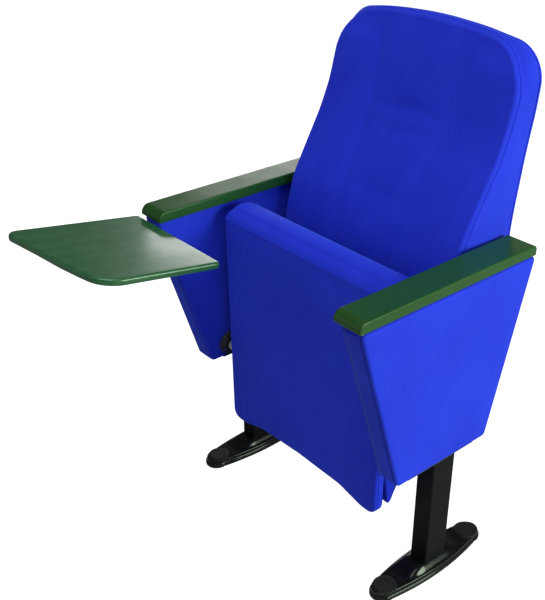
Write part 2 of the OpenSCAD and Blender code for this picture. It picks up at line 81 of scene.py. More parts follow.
def ripple(points, height, size, seed):
    """Smooth seeded waviness, about +-height, with features of about `size`."""
    rng = np.random.default_rng(seed)
    out = np.zeros(len(points))
    for _ in range(7):
        wave = rng.normal(size=points.shape[1])
        wave *= 2 * math.pi / size * rng.uniform(0.6, 1.5) / np.linalg.norm(wave)
        out += np.sin(points @ wave + rng.uniform(0, 6.28))
    return height * out / 2.6


def bell(reach, count):
    """Bell-shaped smoothing weights that add up to 1."""
    weights = np.exp(-np.linspace(-reach, reach, count) ** 2)
    return weights / weights.sum()


def rounded(points, radii, step=0.0012):
    """Closed outline with rounded corners, and the index of the middle of each corner."""
    out, mids = [], []
    count = len(points)
    for i, radius in enumerate(radii):
        before, corner, after = (np.array(points[k % count], float) for k in (i - 1, i, i + 1))
        if radius <= 0:
            mids.append(len(out))
            out.append(corner)
            continue
        u = (before - corner) / np.linalg.norm(before - corner)
        v = (after - corner) / np.linalg.norm(after - corner)
        half = math.acos(max(-1, min(1, float(u @ v)))) / 2
        centre = corner + (u + v) / np.linalg.norm(u + v) * radius / math.sin(half)
        start = corner + u * radius / math.tan(half) - centre
        end = corner + v * radius / math.tan(half) - centre
        angle = math.atan2(start[1], start[0])
        turn = (math.atan2(end[1], end[0]) - angle + math.pi) % (2 * math.pi) - math.pi
        steps = 2 * max(2, int(abs(turn) * radius / step / 2))
        mids.append(len(out) + steps // 2)
        for j in range(steps + 1):
            a = angle + turn * j / steps
            out.append(centre + radius * np.array([math.cos(a), math.sin(a)]))
    return np.array(out), mids


def lengths(line):
    """Length along a polyline up to each of its points."""
    return np.concatenate([[0], np.cumsum(np.linalg.norm(np.diff(line, axis=0), axis=1))])


def sample(line, stations, where):
    """Values of `line`, known at `stations`, read off at `where`."""
    return np.stack([np.interp(where, stations, line[:, k]) for k in range(line.shape[1])], 1)


def at(line, fractions):
    """Points of an open polyline at fractions of its length."""
    stations = lengths(line)
    return sample(line, stations, np.asarray(fractions) * stations[-1])


def resample(outline, count):
    """A closed outline as `count` evenly spaced points."""
    return at(np.vstack([outline, outline[:1]]), np.linspace(0, 1, count + 1)[:-1])


def spread(count, ends=0.5):
    """count + 1 fractions, closer together at the two ends."""
    u = np.linspace(0, 1, count + 1)
    return (1 - ends) * u + ends * (0.5 - 0.5 * np.cos(math.pi * u))


def outward(outline):
    """Unit normals of a closed counter-clockwise outline."""
    tangent = np.roll(outline, -1, 0) - np.roll(outline, 1, 0)
    normal = np.stack([tangent[:, 1], -tangent[:, 0]], 1)
    return normal / np.linalg.norm(tangent, axis=1)[:, None]


def nearest(points, target):
    return int(np.argmin(((points - np.array(target)) ** 2).sum(1)))


def side(outline, start, end):
    count = len(outline)
    return np.array([outline[(start + i) % count] for i in range((end - start) % count + 1)])


def coons(outline, corners, us, vs):
    """Grid over a four-sided outline; corners are indices into it, counter-clockwise."""
    c0, c1, c2, c3 = corners
    low, right = at(side(outline, c0, c1), us), at(side(outline, c1, c2), vs)
    high, left = at(side(outline, c2, c3)[::-1], us), at(side(outline, c3, c0)[::-1], vs)
    u, v = np.asarray(us)[:, None, None], np.asarray(vs)[None, :, None]
    return ((1 - v) * low[:, None] + v * high[:, None] + (1 - u) * left[None] + u * right[None]
            - ((1 - u) * (1 - v) * low[0] + u * (1 - v) * low[-1]
               + u * v * high[-1] + (1 - u) * v * high[0]))


def crown(grid, u_power, v_power, v_ends=(-1, 1)):
    """1 over the middle of a grid, falling to 0 at its borders."""
    u, v = np.meshgrid(np.linspace(-1, 1, grid.shape[0]), np.linspace(*v_ends, grid.shape[1]),
                       indexing="ij")
    return ((1 - u ** u_power) * (1 - v ** v_power)).reshape(-1)


# ---------------------------------------------------------------- padded solids
# A ring is (distance outside the grid, share of the way from top to bottom, height added).
def quarter(radius, steps):
    """Rings of a quarter round that starts flat on top and ends straight down."""
    angles = [math.pi / 2 * i / steps for i in range(1, steps + 1)]
    return [(radius * math.sin(a), 0.0, -radius * (1 - math.cos(a))) for a in angles]


def mirrored(rings):
    """The same rings on the bottom edge, in reverse."""
    return [(out, 1.0, -rise) for out, _, rise in rings[::-1]]


def wall(out, edge, rows):
    """Evenly spaced rings between a top and a bottom edge of radius `edge`."""
    return [(out, k / rows, -edge * (1 - 2 * k / rows)) for k in range(1, rows)]


def welt(edge, steps):
    """Rings of a sewn seam below an edge; steps are (outward, down) from the end of the edge."""
    return [(edge + out, 0, -edge - down) for out, down in steps]


def level(height):
    """A flat face."""
    return lambda points: np.full(len(points), height)


def across_x(y, z, height):
    return np.stack([height, y, z], 1)


def towards_front(x, z, height):
    return np.stack([x, -height, z], 1)


class Pad:
    """A closed solid: a grid on top, rings round its side, the same grid below.

    top and bottom give heights over the grid, place turns (a, b, height) into vertices and
    scale shrinks the rings at each point of the border.
    """

    def __init__(self, grid, top, bottom, rings, place, scale=None):
        n, m = grid.shape[0] - 1, grid.shape[1] - 1
        points = grid.reshape(-1, 2)

        def index(i, j):
            return i * (m + 1) + j

        loop = ([index(i, 0) for i in range(n)] + [index(n, j) for j in range(m)]
                + [index(i, m) for i in range(n, 0, -1)] + [index(0, j) for j in range(m, 0, -1)])
        count = len(loop)
        border = points[loop]
        normal = outward(border)
        size = np.ones(count) if scale is None else scale(border)
        high, low = top(points), bottom(points)
        cells = [(index(i, j), index(i + 1, j), index(i + 1, j + 1), index(i, j + 1))
                 for i in range(n) for j in range(m)]
        verts, faces = [place(points[:, 0], points[:, 1], high)], list(cells)
        base, last = len(points), list(loop)
        self.rings = []
        for out, share, rise in rings:
            p = border + normal * (size * out)[:, None]
            height = (1 - share) * high[loop] + share * low[loop] + rise * size
            verts.append(place(p[:, 0], p[:, 1], height))
            now = list(range(base, base + count))
            faces += self.band(last, now)
            self.rings.append(np.array(now))
            last, base = now, base + count
        faces += self.band(last, [base + k for k in loop])
        verts.append(place(points[:, 0], points[:, 1], low))
        faces += [(base + a, base + d, base + c, base + b) for a, b, c, d in cells]
        self.verts, self.faces = np.concatenate(verts), faces

    @staticmethod
    def band(upper, lower):
        count = len(upper)
        return [(upper[i], lower[i], lower[(i + 1) % count], upper[(i + 1) % count])
                for i in range(count)]


def new_mesh(name, verts, faces):
    data = bpy.data.meshes.new(name)
    data.from_pydata([tuple(map(float, v)) for v in verts], [], faces)
    return data


def add_object(name, data):
    obj = bpy.data.objects.new(name, data)
    scene.collection.objects.link(obj)
    return obj


def add_part(name, verts, faces, material, replaces=None, body="frame",
             sharp=None):
    """A smooth part with outward normals; edges over `sharp` degrees stay sharp."""
    data = new_mesh(name, verts, faces)
    data.validate()
    bm = bmesh.new()
    bm.from_mesh(data)
    bmesh.ops.remove_doubles(bm, verts=bm.verts, dist=1e-6)
    bmesh.ops.recalc_face_normals(bm, faces=bm.faces)
    bm.to_mesh(data)
    bm.free()
    data.shade_smooth()
    if sharp:
        data.set_sharp_from_angle(angle=math.radians(sharp))
    data.materials.append(material)
    obj = add_object(name, data)
    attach(obj, body)
    if replaces:
        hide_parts(replaces)


def vertex_normals(verts, faces):
    data = new_mesh("normals", verts, faces)
    out = np.zeros(len(verts) * 3)
    data.vertices.foreach_get("normal", out)
    bpy.data.meshes.remove(data)
    return out.reshape(-1, 3)


def search_tree(points):
    tree = kdtree.KDTree(len(points))
    for i, p in enumerate(points):
        tree.insert(p, i)
    tree.balance()
    return tree


# ---------------------------------------------------------------- sewing and cloth
STITCH_PITCH = 0.0042
STITCH_LENGTH = 0.0031
THREAD_RADIUS = 0.00036


def stitches(name, path, normals, material):
    """A closed row of sewn thread; each stitch dives into the cloth at both ends."""
    path, normals = np.vstack([path, path[:1]]), np.vstack([normals, normals[:1]])
    stations = lengths(path)
    total = stations[-1]
    count = int(total / STITCH_PITCH)
    middle = (np.arange(count) + 0.5) * total / count
    centre, up = sample(path, stations, middle), sample(normals, stations, middle)
    along = (sample(path, stations, np.minimum(middle + 0.001, total))
             - sample(path, stations, np.maximum(middle - 0.001, 0)))
    along /= np.linalg.norm(along, axis=1)[:, None]
    up -= (up * along).sum(1)[:, None] * along
    up /= np.linalg.norm(up, axis=1)[:, None]
    across = np.cross(along, up)
    verts, faces = [], []
    # (place along half the stitch, share of the thread radius)
    profile = [(-1.0, 0.0), (-0.72, 0.85), (0.0, 1.0), (0.72, 0.85), (1.0, 0.0)]
    for i in range(count):
        base = len(verts)
        for x, width in profile:
            core = (centre[i] + along[i] * x * STITCH_LENGTH / 2
                    + up[i] * THREAD_RADIUS * (0.35 - 0.9 * x * x))
            if width == 0:
                verts.append(core)
                continue
            for a in range(6):
                angle = a * math.pi / 3
                spoke = up[i] * math.sin(angle) + across[i] * math.cos(angle)
                verts.append(core + spoke * THREAD_RADIUS * width)
        for a in range(6):
            b = (a + 1) % 6
            faces.append((base, base + 1 + a, base + 1 + b))
            for ring in (base + 1, base + 7):
                faces.append((ring + a, ring + 6 + a, ring + 6 + b, ring + b))
            faces.append((base + 13 + a, base + 19, base + 13 + b))
    add_part(name, verts, faces, material)


def inflate(verts, faces, pin, limit, bending=0.6):
    """Cloth simulation of a cover on its foam: how far each vertex swells, up to `limit`.

    pin gives 0..1, with 1 for points held by seams and board.
    """
    voxel, frames, pressure = 0.006, 20, 4.0
    blend_radius = 0.006        # reach of the cloth points that move a vertex of the cover
    obj = add_object("sim", new_mesh("sim", verts, faces))
    for other in bpy.context.selected_objects:
        other.select_set(False)
    bpy.context.view_layer.objects.active = obj
    obj.select_set(True)
    obj.data.remesh_voxel_size = voxel
    bpy.ops.object.voxel_remesh()
    rest = np.zeros(len(obj.data.vertices) * 3)
    obj.data.vertices.foreach_get("co", rest)
    rest = rest.reshape(-1, 3)
    weights = np.round(np.clip(pin(rest), 0, 1) * 10).astype(int)
    group = obj.vertex_groups.new(name="pin")
    for k in range(11):
        ids = np.nonzero(weights == k)[0]
        if len(ids):
            group.add([int(i) for i in ids], k / 10, "REPLACE")
    cloth = obj.modifiers.new("Cloth", "CLOTH")
    settings = cloth.settings
    settings.quality = 5
    settings.mass = 0.3
    settings.tension_stiffness = settings.compression_stiffness = 15
    settings.shear_stiffness = 8
    settings.bending_stiffness = bending
    settings.use_pressure = True
    settings.uniform_pressure_force = pressure
    settings.vertex_group_mass = "pin"
    settings.effector_weights.gravity = 0
    cloth.collision_settings.use_collision = False
    cloth.collision_settings.use_self_collision = False
    cloth.point_cache.frame_start, cloth.point_cache.frame_end = 1, frames
    scene.frame_start, scene.frame_end = 1, frames
    for number in range(1, frames + 1):
        scene.frame_set(number)
    evaluated = obj.evaluated_get(bpy.context.evaluated_depsgraph_get())
    swollen = np.zeros(len(rest) * 3)
    evaluated.data.vertices.foreach_get("co", swollen)
    travel = swollen.reshape(-1, 3) - rest
    far = np.linalg.norm(travel, axis=1)
    travel *= (limit * np.tanh(far / limit) / np.maximum(far, 1e-9))[:, None]
    scene.frame_set(1)
    bpy.data.objects.remove(obj)
    tree = search_tree(rest)
    out = np.zeros_like(verts)
    for i, v in enumerate(verts):
        near = tree.find_n(v, 10)
        ids = [hit[1] for hit in near]
        share = np.array([math.exp(-(hit[2] / blend_radius) ** 2) + 1e-6 for hit in near])
        out[i] = (travel[ids] * share[:, None]).sum(0) / share.sum()
    return out


# ---------------------------------------------------------------- shader nodes
class Nodes:
    """Short ways to add shader nodes to a tree; each returns the output socket."""

    def __init__(self, tree):
        self.tree = tree

    def add(self, kind):
        return self.tree.nodes.new("ShaderNode" + kind)

    def put(self, socket, value):
        """Link a socket or set a number; a tuple is a colour, made opaque."""
        if isinstance(value, bpy.types.NodeSocket):
            self.tree.links.new(value, socket)
        else:
            socket.default_value = (*value, 1.0) if isinstance(value, tuple) else value

    def math(self, operation, first, second=0.0, clamp=False):
        node = self.add("Math")
        node.operation, node.use_clamp = operation, clamp
        self.put(node.inputs[0], first)
        self.put(node.inputs[1], second)
        return node.outputs[0]

    def remap(self, value, span, to=(0.0, 1.0)):
        node = self.add("MapRange")
        self.put(node.inputs["Value"], value)
        for key, limit in zip(("From Min", "From Max", "To Min", "To Max"), (*span, *to)):
            node.inputs[key].default_value = limit
        return node.outputs[0]


class Shader(Nodes):
    """A new material with one principled shader, textured in object coordinates."""

    def __init__(self, name):
        self.material = bpy.data.materials.new(name)
        self.material.use_nodes = True
        super().__init__(self.material.node_tree)
        self.tree.nodes.clear()
        self.output = self.add("OutputMaterial")
        self.principled = self.add("BsdfPrincipled")
        self.put(self.output.inputs[0], self.principled.outputs[0])
        self.coords = self.add("TexCoord").outputs["Object"]

    def set(self, values):
        for key, value in values.items():
            self.put(self.principled.inputs[key], value)
        return self.material

    def stretched(self, scale):
        node = self.add("Mapping")
        self.put(node.inputs["Vector"], self.coords)
        node.inputs["Scale"].default_value = scale
        return node.outputs[0]

    def noise(self, scale=1.0, detail=3.0, rough=0.55, warp=0.0, where=None):
        node = self.add("TexNoise")
        self.put(node.inputs["Vector"], self.coords if where is None else where)
        for key, value in (("Scale", scale), ("Detail", detail), ("Roughness", rough),
                           ("Distortion", warp)):
            node.inputs[key].default_value = value
        return node.outputs["Fac"]

    def mix(self, factor, first, second):
        node = self.add("Mix")
        node.data_type = "RGBA"
        self.put(node.inputs["Factor"], factor)
        self.put(node.inputs[6], first)
        self.put(node.inputs[7], second)
        return node.outputs[2]

    def bump(self, height, strength, distance, normal=None):
        node = self.add("Bump")
        node.inputs["Strength"].default_value = strength
        node.inputs["Distance"].default_value = distance
        self.put(node.inputs["Height"], height)
        if normal is not None:
            self.put(node.inputs["Normal"], normal)
        return node.outputs[0]

    def edges(self, span):
        """0..1 on the outward edges of the mesh."""
        return self.remap(self.add("NewGeometry").outputs["Pointiness"], span=span)

    def bevel(self, radius):
        node = self.add("Bevel")
        node.samples = 4
        node.inputs["Radius"].default_value = radius
        return node.outputs[0]


def shade(colour, by):
    return tuple(by * x for x in colour)


# ---------------------------------------------------------------- materials
def fabric(name, deep, mid, light):
    """Woven cloth with a soft nap."""
    mat = Shader(name)
    waves = 2 * math.pi / 0.0016        # the weave repeats every 1.6 mm
    split = mat.add("SeparateXYZ")
    mat.put(split.inputs[0], mat.coords)
    x, y, z = [mat.math("SINE", mat.math("MULTIPLY", axis, waves)) for axis in split.outputs]
    weave = mat.math("ADD", mat.math("MULTIPLY", x, y),
                     mat.math("ADD", mat.math("MULTIPLY", y, z), mat.math("MULTIPLY", z, x)))
    fuzz = mat.noise(scale=900, detail=2, rough=0.6)
    cloud = mat.noise(scale=6.0, detail=3, rough=0.5, warp=0.3)
    nap = mat.noise(detail=4, rough=0.6, warp=0.6, where=mat.stretched((26, 26, 9)))
    colour = mat.mix(mat.remap(cloud, span=(0.35, 0.65)), deep, mid)
    colour = mat.mix(mat.remap(nap, span=(0.4, 0.75), to=(0.0, 0.12)), colour, light)
    colour = mat.mix(mat.remap(fuzz, span=(0.3, 0.75), to=(0.0, 0.20)), colour, light)
    colour = mat.mix(mat.remap(weave, span=(-1.0, 1.0), to=(0.25, 0.0)), colour,
                     shade(deep, by=0.35))
    rubbed = mat.mix(0.12, colour, light)
    colour = mat.mix(mat.edges(span=(0.52, 0.62)), colour, rubbed)
    threads = mat.math("ADD", mat.math("MULTIPLY", weave, 0.5), fuzz)
    soft = mat.bump(nap, strength=0.12, distance=0.0008)
    return mat.set({
        "Base Color": colour,
        "Roughness": mat.remap(fuzz, span=(0.3, 0.7), to=(0.72, 0.9)),
        "Specular IOR Level": 0.18,
        "Sheen Weight": 0.16,
        "Sheen Roughness": 0.45,
        "Sheen Tint": (0.16, 0.36, 1.0),
        "Normal": mat.bump(threads, strength=0.28, distance=0.00016, normal=soft)})


def lacquer(name, dark, lit, stretch, coat, coat_rough=1.0):
    """Stained wood under satin lacquer; the grain runs along the smallest stretch."""
    mat = Shader(name)
    where = mat.stretched(stretch)
    swirl = mat.noise(detail=5, rough=0.62, warp=1.2, where=where)
    fine = mat.noise(detail=3, rough=0.7, warp=0.4, where=mat.stretched(shade(stretch, by=7)))
    wave = mat.add("TexWave")
    wave.wave_type, wave.bands_direction = "BANDS", "X"
    mat.put(wave.inputs["Vector"], where)
    for key, value in (("Scale", 0.8), ("Distortion", 6.0), ("Detail", 3.0),
                       ("Detail Scale", 0.8)):
        wave.inputs[key].default_value = value
    grain = mat.math("ADD", mat.math("MULTIPLY", swirl, 0.6),
                     mat.math("MULTIPLY", wave.outputs["Fac"], 0.4))
    colour = mat.mix(mat.remap(grain, span=(0.15, 0.9), to=(0.2, 0.8)), dark, lit)
    colour = mat.mix(mat.remap(fine, span=(0.55, 0.8), to=(0.0, 0.3)), colour,
                     shade(dark, by=0.4))
    patches = mat.remap(mat.noise(scale=90, detail=3), span=(0.42, 0.7))
    worn = mat.math("MULTIPLY", mat.edges(span=(0.53, 0.6)), patches, clamp=True)
    worn_colour = (0.16, 0.26, 0.12)
    smudge = mat.noise(scale=14, detail=4, rough=0.6, warp=0.4)
    pores = mat.bump(mat.noise(scale=260, detail=2), strength=0.05, distance=0.0003)
    return mat.set({
        "Base Color": mat.mix(mat.math("MULTIPLY", worn, 0.5), colour, worn_colour),
        "Roughness": mat.remap(smudge, span=(0.35, 0.7), to=(0.30, 0.46)),
        "Specular IOR Level": 0.25,
        "Coat Weight": coat,
        "Coat Roughness": mat.remap(smudge, span=(0.3, 0.7),
                                    to=(0.16 * coat_rough, 0.28 * coat_rough)),
        "Normal": mat.bump(fine, strength=0.10, distance=0.0002, normal=pores)})


def moulded(name, base, rough, coat, peel, dust, bevel=0.0, specular=0.3):
    """Black plastic or powder-coated steel; peel is the scale of its orange-peel bumps."""
    mat = Shader(name)
    cloud = mat.noise(scale=18, detail=4, rough=0.6)
    speck = mat.noise(scale=700, detail=2, rough=0.6)
    dust_colour, edge_colour = (0.12, 0.12, 0.115), (0.09, 0.09, 0.09)
    colour = mat.mix(mat.remap(cloud, span=(0.35, 0.75), to=(0.0, 0.5)), base,
                     tuple(1.8 * x + 0.002 for x in base))
    colour = mat.mix(mat.remap(speck, span=(0.62, 0.8), to=(0.0, dust)), colour, dust_colour)
    edge = mat.math("MULTIPLY", mat.edges(span=(0.53, 0.62)), 0.25)
    return mat.set({
        "Base Color": mat.mix(edge, colour, edge_colour),
        "Roughness": mat.remap(cloud, span=(0.3, 0.75), to=(rough * 0.8, rough * 1.3)),
        "Specular IOR Level": specular,
        "Coat Weight": coat,
        "Coat Roughness": 0.08,
        "Normal": mat.bump(mat.noise(scale=peel, detail=2, rough=0.5), strength=0.12,
                           distance=0.0003, normal=mat.bevel(bevel) if bevel else None)})


def zinc(name):
    mat = Shader(name)
    streak = mat.noise(detail=3, rough=0.6, where=mat.stretched((1500, 60, 60)))
    bloom = mat.noise(scale=160, detail=3, rough=0.6)
    return mat.set({
        "Base Color": mat.mix(bloom, (0.46, 0.46, 0.44), (0.66, 0.66, 0.68)),
        "Metallic": 1.0,
        "Roughness": mat.remap(streak, span=(0.3, 0.7), to=(0.25, 0.42)),
        "Normal": mat.bump(streak, strength=0.08, distance=0.0001, normal=mat.bevel(0.0004))})


def timber(name, light, dark):
    """Plywood with its layers stacked along Y."""
    mat = Shader(name)
    grain = mat.noise(detail=5, rough=0.65, warp=1.5, where=mat.stretched((60, 60, 6)))
    layers = mat.add("TexWave")
    mat.put(layers.inputs["Vector"], mat.coords)
    layers.bands_direction = "Y"
    layers.inputs["Scale"].default_value = 160
    layers.inputs["Distortion"].default_value = 0.5
    colour = mat.mix(mat.remap(grain, span=(0.3, 0.7)), light, dark)
    lines = mat.math("MULTIPLY", layers.outputs["Fac"], 0.3)
    return mat.set({
        "Base Color": mat.mix(lines, colour, shade(dark, by=0.5)),
        "Roughness": mat.remap(grain, span=(0.3, 0.7), to=(0.6, 0.8)),
        "Normal": mat.bump(grain, strength=0.2, distance=0.0004, normal=mat.bevel(0.0006))})


def nylon(name):
    mat = Shader(name)
    grain = mat.noise(scale=220, detail=3, rough=0.6)
    return mat.set({
        "Base Color": mat.mix(grain, (0.020, 0.020, 0.021), (0.038, 0.038, 0.040)),
        "Roughness": mat.remap(grain, span=(0.3, 0.7), to=(0.42, 0.6)),
        "Subsurface Weight": 0.08,
        "Normal": mat.bump(grain, strength=0.1, distance=0.0002, normal=mat.bevel(0.0004))})


FABRIC = fabric("fabric_royal_blue", deep=(0.007, 0.018, 0.53), mid=(0.010, 0.025, 0.61),
                light=(0.030, 0.068, 0.86))
THREAD = fabric("thread_blue", deep=(0.006, 0.012, 0.30), mid=(0.010, 0.02, 0.42),
                light=(0.03, 0.07, 0.7))
# the arm caps' green lacquer is the tablet's green made darker and less blue: real green with
# painted shade for the dark tops of the caps
WOOD_ARM_SHADED = lacquer("wood_green_arm_painted_shade", dark=(0.006, 0.040, 0.005), lit=(0.014, 0.074, 0.010),
               stretch=(110, 8, 110), coat=0.16)
WOOD_TABLET = lacquer("wood_green_tablet", dark=(0.010, 0.062, 0.022), lit=(0.022, 0.105, 0.040),
                      stretch=(9, 110, 110), coat=0.55, coat_rough=0.6)
GLOSS = moulded("plastic_gloss_black", base=(0.003, 0.003, 0.0033), rough=0.16, coat=0.12,
                peel=420, dust=0.02, specular=0.2)
DISC = moulded("plastic_satin_black", base=(0.006, 0.006, 0.0065), rough=0.5, coat=0.0,
               peel=800, dust=0.04, specular=0.15)
STEEL = moulded("steel_powder_black", base=(0.0025, 0.0025, 0.003), rough=0.55, coat=0.0,
                peel=1300, dust=0.03, specular=0.10)
STEEL_CAD = moulded("steel_powder_black_cad", base=(0.010, 0.010, 0.011), rough=0.36, coat=0.15,
                    peel=1300, dust=0.12, bevel=0.0008)
PLASTIC_CAD = moulded("plastic_black_cad", base=(0.012, 0.012, 0.013), rough=0.3, coat=0.3,
                      peel=700, dust=0.12, bevel=0.001)
ZINC = zinc("steel_zinc")
TIMBER = timber("timber_ply", light=(0.50, 0.34, 0.19), dark=(0.34, 0.20, 0.10))
# near-black plywood for the seat board: painted shade for the gap between the cushion and the
# underside cover
TIMBER_PAINTED_SHADE = timber("timber_ply_painted_shade", light=(0.040, 0.034, 0.030),
                     dark=(0.016, 0.013, 0.012))
NYLON = nylon("nylon_black")


# ---------------------------------------------------------------- side panels
# Both sides are drawn from the left CAD part; mirror = -1 gives the right one.
def side_panel(mirror, name, node):
    solid = cad("arm_cover_left")
    x_min, x_max = solid[:, 0].min(), solid[:, 0].max()
    z_min, z_max = solid[:, 2].min(), solid[:, 2].max()
    top_edge = solid[solid[:, 2] > z_max - 0.0005]
    y_front, y_rear = top_edge[:, 1].min(), top_edge[:, 1].max()
    lower = solid[solid[:, 2] < z_max - 0.01]
    # how far the front and rear edges draw in per metre down
    front_lean = ((lower[:, 1] - y_front) / (z_max - lower[:, 2])).min()
    rear_lean = ((y_rear - lower[:, 1]) / (z_max - lower[:, 2])).min()
    edge = 0.0055                       # radius of the padded edges
    top = z_max - 0.0012

    def front(z):
        return y_front + front_lean * (z_max - z) + edge * math.hypot(1, front_lean)

    def rear(z):
        return y_rear - rear_lean * (z_max - z) - edge * math.hypot(1, rear_lean)

    inset = [(front(top) + edge * front_lean, top - edge),
             (front(z_min) - edge * front_lean, z_min + edge),
             (rear(z_min) + edge * rear_lean, z_min + edge),
             (rear(top) - edge * rear_lean, top - edge)]
    outline, corners = rounded(inset, [0.002, 0.004, 0.004, 0.002], step=0.0005)
    grid = coons(outline, corners, spread(96, 0.35), spread(112, 0.35))
    swell = crown(grid, 6, 6)
    half = (x_max - x_min) / 2

    def face(points, seed, bulge):
        return half + (bulge * swell + swell * ripple(points, height=0.00022, size=0.11, seed=seed)
                       + swell * ripple(points, height=0.00008, size=0.03, seed=seed + 9))

    # the welt joins the side cloth to the edge strip
    rim = quarter(edge, 6) + welt(edge, [(-0.0001, 0.0006), (-0.0007, 0.0011),
                                         (-0.0007, 0.0015), (0.0, 0.0020)])
    strip = [(edge + 0.0004 * math.sin(math.pi * k / 8), k / 8, 0) for k in range(1, 8)]
    pad = Pad(grid, lambda p: face(p, seed=3, bulge=0.0013),
              lambda p: -face(p, seed=5, bulge=0.0010), rim + strip + mirrored(rim), across_x)
    pad.verts[:, 0] = (pad.verts[:, 0] + (x_min + x_max) / 2) * mirror
    add_part(name, pad.verts, pad.faces, FABRIC, replaces=node)


side_panel(1, "panel_cover_left", "arm_cover_left")
side_panel(-1, "panel_cover_right", "arm_cover_right")


# ---------------------------------------------------------------- arm caps
def arm_cap(mirror, name, node):
    lo, hi = box("armrest_left")
    edge = 0.0022
    y0, y1, z0, z1 = lo[1] + edge, hi[1] - edge, lo[2] + edge, hi[2] - edge
    outline, corners = rounded([(y0, z1), (y0, z0), (y1, z0), (y1, z1)],
                               [0.0145, 0.0012, 0.0012, 0.007], step=0.0006)
    # rows close up towards the front and rear ends
    rows = np.interp(np.linspace(0, 1, 141), [0, 0.12, 0.88, 1], [0, 0.05, 0.96, 1])
    grid = coons(outline, corners, spread(20, 0.3), rows)
    half = (hi[0] - lo[0]) / 2
    rim = quarter(edge, 5)
    pad = Pad(grid, level(half), level(-half), rim + wall(edge, edge, 14) + mirrored(rim),
              across_x)
    v = pad.verts
    v[:, 2] += ripple(v, height=0.00010, size=0.09, seed=21) * (v[:, 2] > (lo[2] + hi[2]) / 2)
    v[:, 0] = (v[:, 0] + (lo[0] + hi[0]) / 2) * mirror
    add_part(name, v, pad.faces, WOOD_ARM_SHADED, replaces=node)


arm_cap(1, "arm_cap_left", "armrest_left")
arm_cap(-1, "arm_cap_right", "armrest_right")

# ---------------------------------------------------------------- back
back_solid, rear_solid = cad("back_cushion"), cad("back_rear_panel")
BACK_HALF = np.abs(back_solid[:, 0]).max()
BACK_LOW, BACK_HIGH = back_solid[:, 2].min(), back_solid[:, 2].max()
BACK_CENTRE = np.array([0.0, 0.72])     # x, z


def stations(solid, pick):
    """Heights of a CAD solid's vertices, and the picked y at each."""
    heights = np.unique(np.round(solid[:, 2], 4))
    return heights, [pick(solid[np.abs(solid[:, 2] - z) < 6e-5][:, 1]) for z in heights]


def smooth_line(solid, pick):
    """Smoothed front or rear line of a CAD solid: y as a function of z."""
    z = np.linspace(BACK_LOW - 0.03, BACK_HIGH + 0.03, 600)
    y = np.interp(z, *stations(solid, pick))
    y = np.convolve(np.pad(y, 32, mode="edge"), bell(2.2, 65), "valid")
    return lambda q: np.interp(q, z, y)


# only points on the flat part of the front, away from the pocket and the edge
rear_at_points = np.interp(back_solid[:, 2], *stations(rear_solid, np.max))
front_points = back_solid[(back_solid[:, 1] < rear_at_points - 0.0216)
                          & ~((back_solid[:, 1] > 0.155) & (back_solid[:, 2] < 0.70))]
front_line, rear_line = smooth_line(front_points, np.min), smooth_line(rear_solid, np.max)


def front_y(z):
    return np.minimum(front_line(z), 0.1995 + 0.25 * np.clip(z - 0.965, 0, 1))


def rear_y(z):
    """The padding of the rear panel fills out towards the head."""
    return rear_line(z) + 0.006 * fade(z, 0.78, 0.93)


def channel_x(z):
    """Half distance between the two sewn channels that set off the side bolsters."""
    return 0.077 + 0.030 * np.clip((z - 0.634) / 0.30, -0.4, 1.1)


def channel_span(z):
    """1 over the height of the channels, fading out at both ends."""
    return fade(z, 0.50, 0.56) * (1 - fade(z, 0.925, 0.955))


def lumbar_z(x):
    """Height of the shallow sewn line between the two channels."""
    return 0.690 + 0.003 * (x / 0.09) ** 2


def back_face(p):
    """Height of the padded face towards the front, over (x, z)."""
    x, z = p[:, 0], p[:, 1]
    y = front_y(z)
    d = np.abs(x) - channel_x(z)
    on = channel_span(z)
    y = y + on * (0.0020 * np.exp(-(d / 0.0030) ** 2) + 0.0012 * np.exp(-(d / 0.012) ** 2))
    inside = 1 - fade(np.abs(x), channel_x(z) - 0.012, channel_x(z) + 0.002)
    y = y + 0.0008 * inside * np.exp(-((z - lumbar_z(x)) / 0.0030) ** 2)
    # bolsters stand a little proud, the middle is dished
    y = y - 0.004 * fade(d, 0.0, 0.05) * (1 - fade(np.abs(x), BACK_HALF - 0.05, BACK_HALF)) * on
    y = y + 0.002 * on * (1 - fade(np.abs(x), 0.02, 0.08))
    y = (y + ripple(p, height=0.0005, size=0.13, seed=31)
         + ripple(p, height=0.00012, size=0.03, seed=33))
    return -y


def front_outline(inset):
    """Outline (x, z) of the padded face inside its seam: it narrows and rounds at the head."""
    half, shoulder = BACK_HALF - 0.0035 - inset, 0.2218 - inset
    z_shoulder, z_brow, z_crest = (BACK_HIGH - drop - inset for drop in (0.0190, 0.0070, 0.0026))
    points = [(-half, BACK_LOW + inset), (half, BACK_LOW + inset), (half - 0.001, 0.790),
              (shoulder, z_shoulder), (0.100, z_brow), (0, z_crest), (-0.100, z_brow),
              (-shoulder, z_shoulder), (-half + 0.001, 0.790)]
    turn = 0.095 - inset
    outline, mids = rounded(points, [0.016, 0.016, 0.25, turn, 0.6, 0.9, 0.6, turn, 0.25],
                            step=0.002)
    return outline, [mids[k] for k in (0, 1, 3, 7)]


def rear_outline(inset):
    """Outline (x, z) at the rear edge, fuller at the head than the face in front of it."""
    half = BACK_HALF - 0.0002 - inset
    z_shoulder, z_brow, z_crest = (BACK_HIGH - drop - inset for drop in (0.0215, 0.0055, 0.0003))
    points = [(-half, BACK_LOW + inset), (half, BACK_LOW + inset), (half, z_shoulder),
              (0.100, z_brow), (0, z_crest), (-0.100, z_brow), (-half, z_shoulder)]
    turn = 0.068 - inset
    outline, mids = rounded(points, [0.014, 0.014, turn, 0.6, 0.9, 0.6, turn], step=0.002)
    return outline, [mids[k] for k in (0, 1, 2, 6)]


